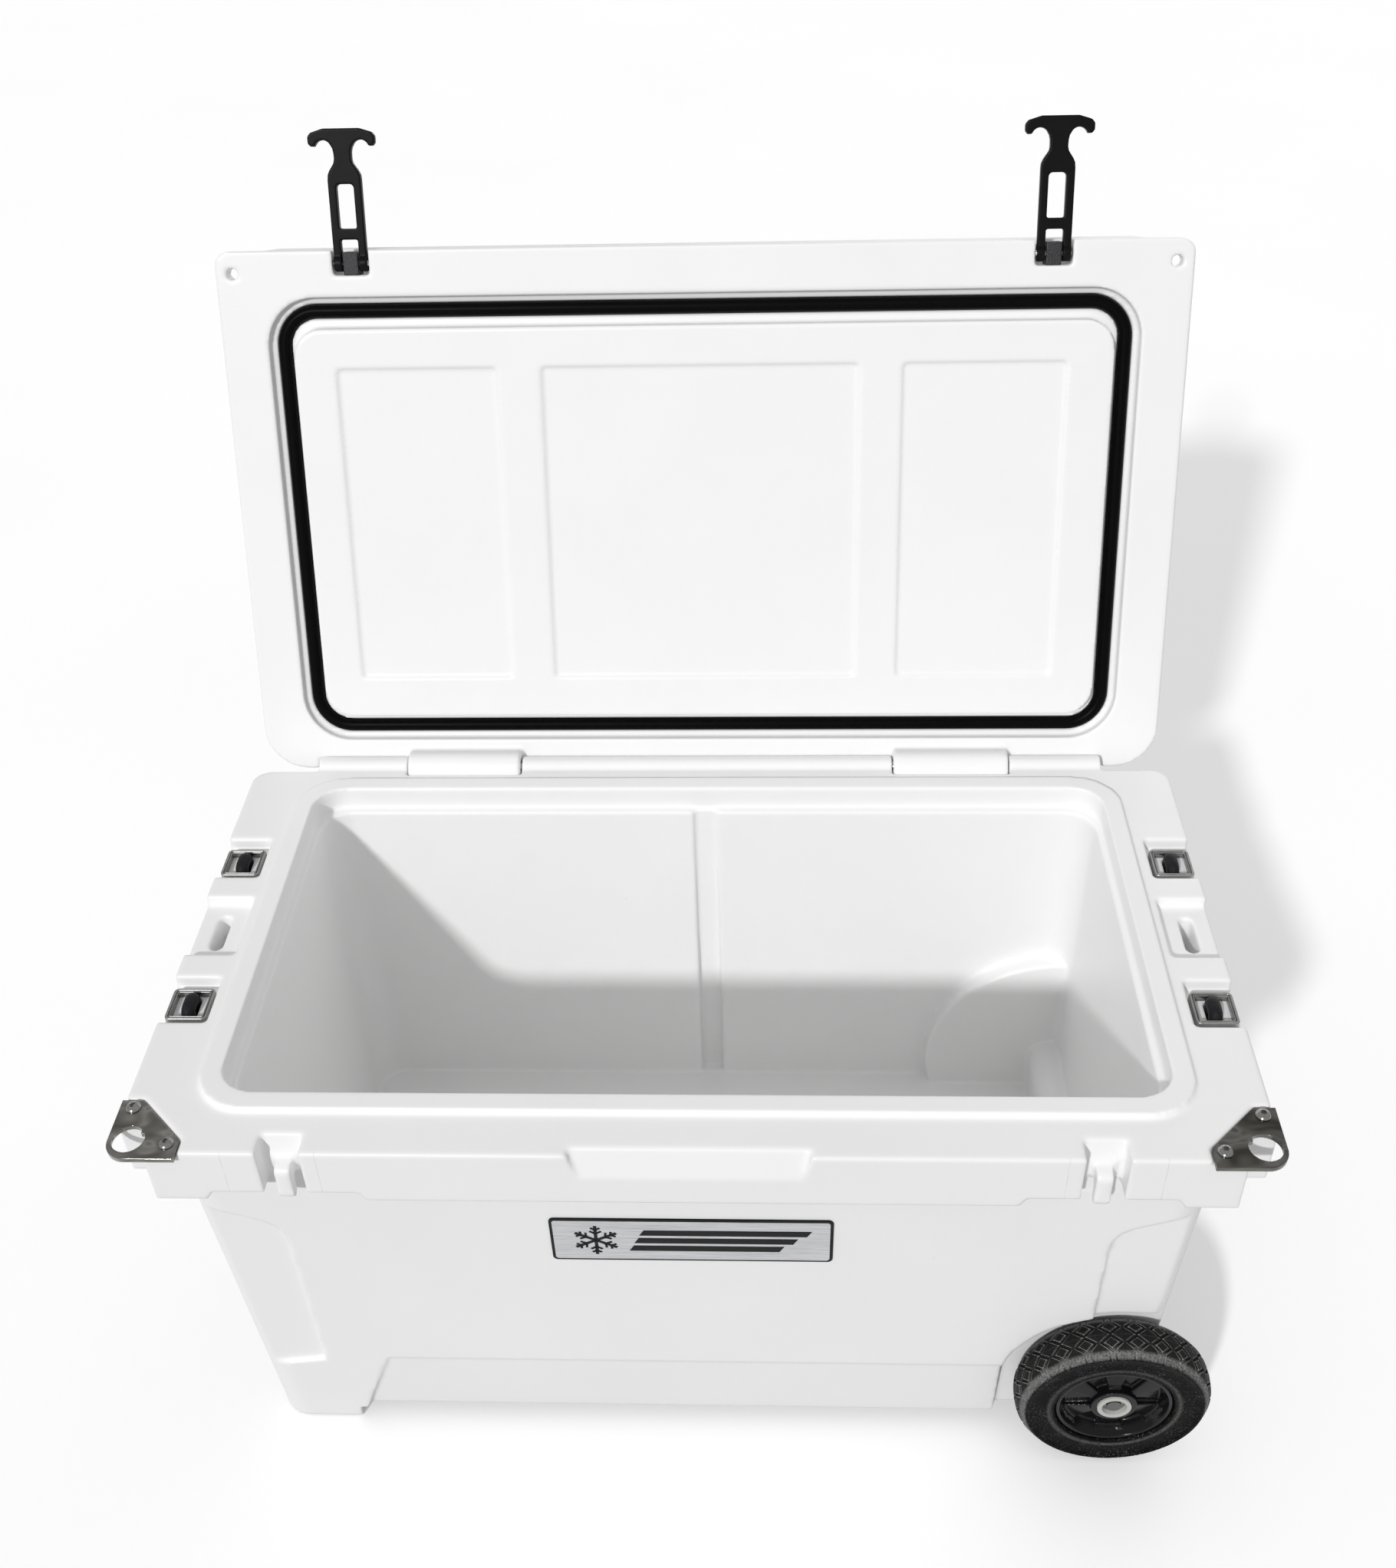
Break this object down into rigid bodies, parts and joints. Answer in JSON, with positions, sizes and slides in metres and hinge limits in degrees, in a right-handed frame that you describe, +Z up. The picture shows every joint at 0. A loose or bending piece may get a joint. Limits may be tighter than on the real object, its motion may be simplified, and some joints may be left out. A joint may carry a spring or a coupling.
{
  "type": "wheeled cooler chest",
  "caption": "Insulated chest on wheels with a hinged, gasketed lid that opens to a stop, rubber T-latches, rope side handles and a drain.",
  "frame": {"origin": "on the ground, at the middle of the body's width and depth", "axes": "+X towards the wheel end, -Y towards the front with the latches and nameplate, +Z up"},
  "size_m": [0.81, 0.6428, 0.8813],
  "materials": {
    "white_plastic": "satin",
    "foam": "matt",
    "gasket_rubber": "matt",
    "latch_rubber": "satin",
    "mount_plastic": "fine textured",
    "stainless": "brushed",
    "bright_steel": "polished",
    "rope": "braided",
    "grip": "matt",
    "nameplate_metal": "brushed, dark border",
    "drain_plastic": "satin",
    "tyre": "matt",
    "hub_plastic": "gloss",
    "bush_nylon": "satin"
  },
  "bodies": {
    "tub": {"tub_shell": "white_plastic", "tub_foam": "foam", "tub_fill_plugs": "white_plastic", "hinge_pins": "stainless", "corner_plate_left": "stainless", "corner_plate_right": "stainless", "plate_screws": "bright_steel", "rope_frames": "stainless", "rope_ends": "rope", "nameplate": "nameplate_metal", "drain_fitting": "drain_plastic", "drain_nut": "drain_plastic", "drain_seal": "gasket_rubber", "axle": "stainless", "axle_spacers": "stainless", "axle_clips": "bright_steel"},
    "lid": {"lid_shell": "white_plastic", "lid_foam": "foam", "lid_fill_plugs": "white_plastic", "lid_gasket": "gasket_rubber", "latch_mounts": "mount_plastic", "latch_pins": "stainless"},
    "latch_left": {"latch_left": "latch_rubber"},
    "latch_right": {"latch_right": "latch_rubber"},
    "wheel_front": {"tyre_front": "tyre", "hub_front": "hub_plastic", "bushes_front": "bush_nylon"},
    "wheel_back": {"tyre_back": "tyre", "hub_back": "hub_plastic", "bushes_back": "bush_nylon"},
    "handle_left": {"handle_rope_left": "rope", "handle_grip_left": "grip"},
    "handle_right": {"handle_rope_right": "rope", "handle_grip_right": "grip"},
    "drain_cap": {"drain_cap": "drain_plastic"}
  },
  "joints": [
    {"name": "lid_hinge", "type": "hinge", "parent": "tub", "child": "lid", "pos_m": [0, 0.217, 0.3753], "axis": [1, 0, 0], "range_deg": [0, 108]},
    {"name": "latch_left_swing", "type": "hinge", "parent": "lid", "child": "latch_left", "pos_m": [-0.284, 0.36257, 0.78223], "axis": [1, 0, 0], "range_deg": [-45, 88]},
    {"name": "latch_right_swing", "type": "hinge", "parent": "lid", "child": "latch_right", "pos_m": [0.284, 0.36257, 0.78223], "axis": [1, 0, 0], "range_deg": [-45, 88]},
    {"name": "wheel_front_spin", "type": "hinge", "parent": "tub", "child": "wheel_front", "pos_m": [0.325, -0.204, 0.0762], "axis": [0, 1, 0], "continuous": true},
    {"name": "wheel_back_spin", "type": "hinge", "parent": "tub", "child": "wheel_back", "pos_m": [0.325, 0.204, 0.0762], "axis": [0, 1, 0], "continuous": true},
    {"name": "handle_left_swing", "type": "hinge", "parent": "tub", "child": "handle_left", "pos_m": [-0.385, 0.0067, 0.3215], "axis": [0, 1, 0], "range_deg": [0, 85]},
    {"name": "handle_right_swing", "type": "hinge", "parent": "tub", "child": "handle_right", "pos_m": [0.385, 0.0067, 0.3215], "axis": [0, -1, 0], "range_deg": [0, 85]},
    {"name": "drain_cap_turn", "type": "hinge", "parent": "tub", "child": "drain_cap", "pos_m": [-0.366, 0, 0.054], "axis": [-1, 0, 0], "range_deg": [0, 720]}
  ]
}
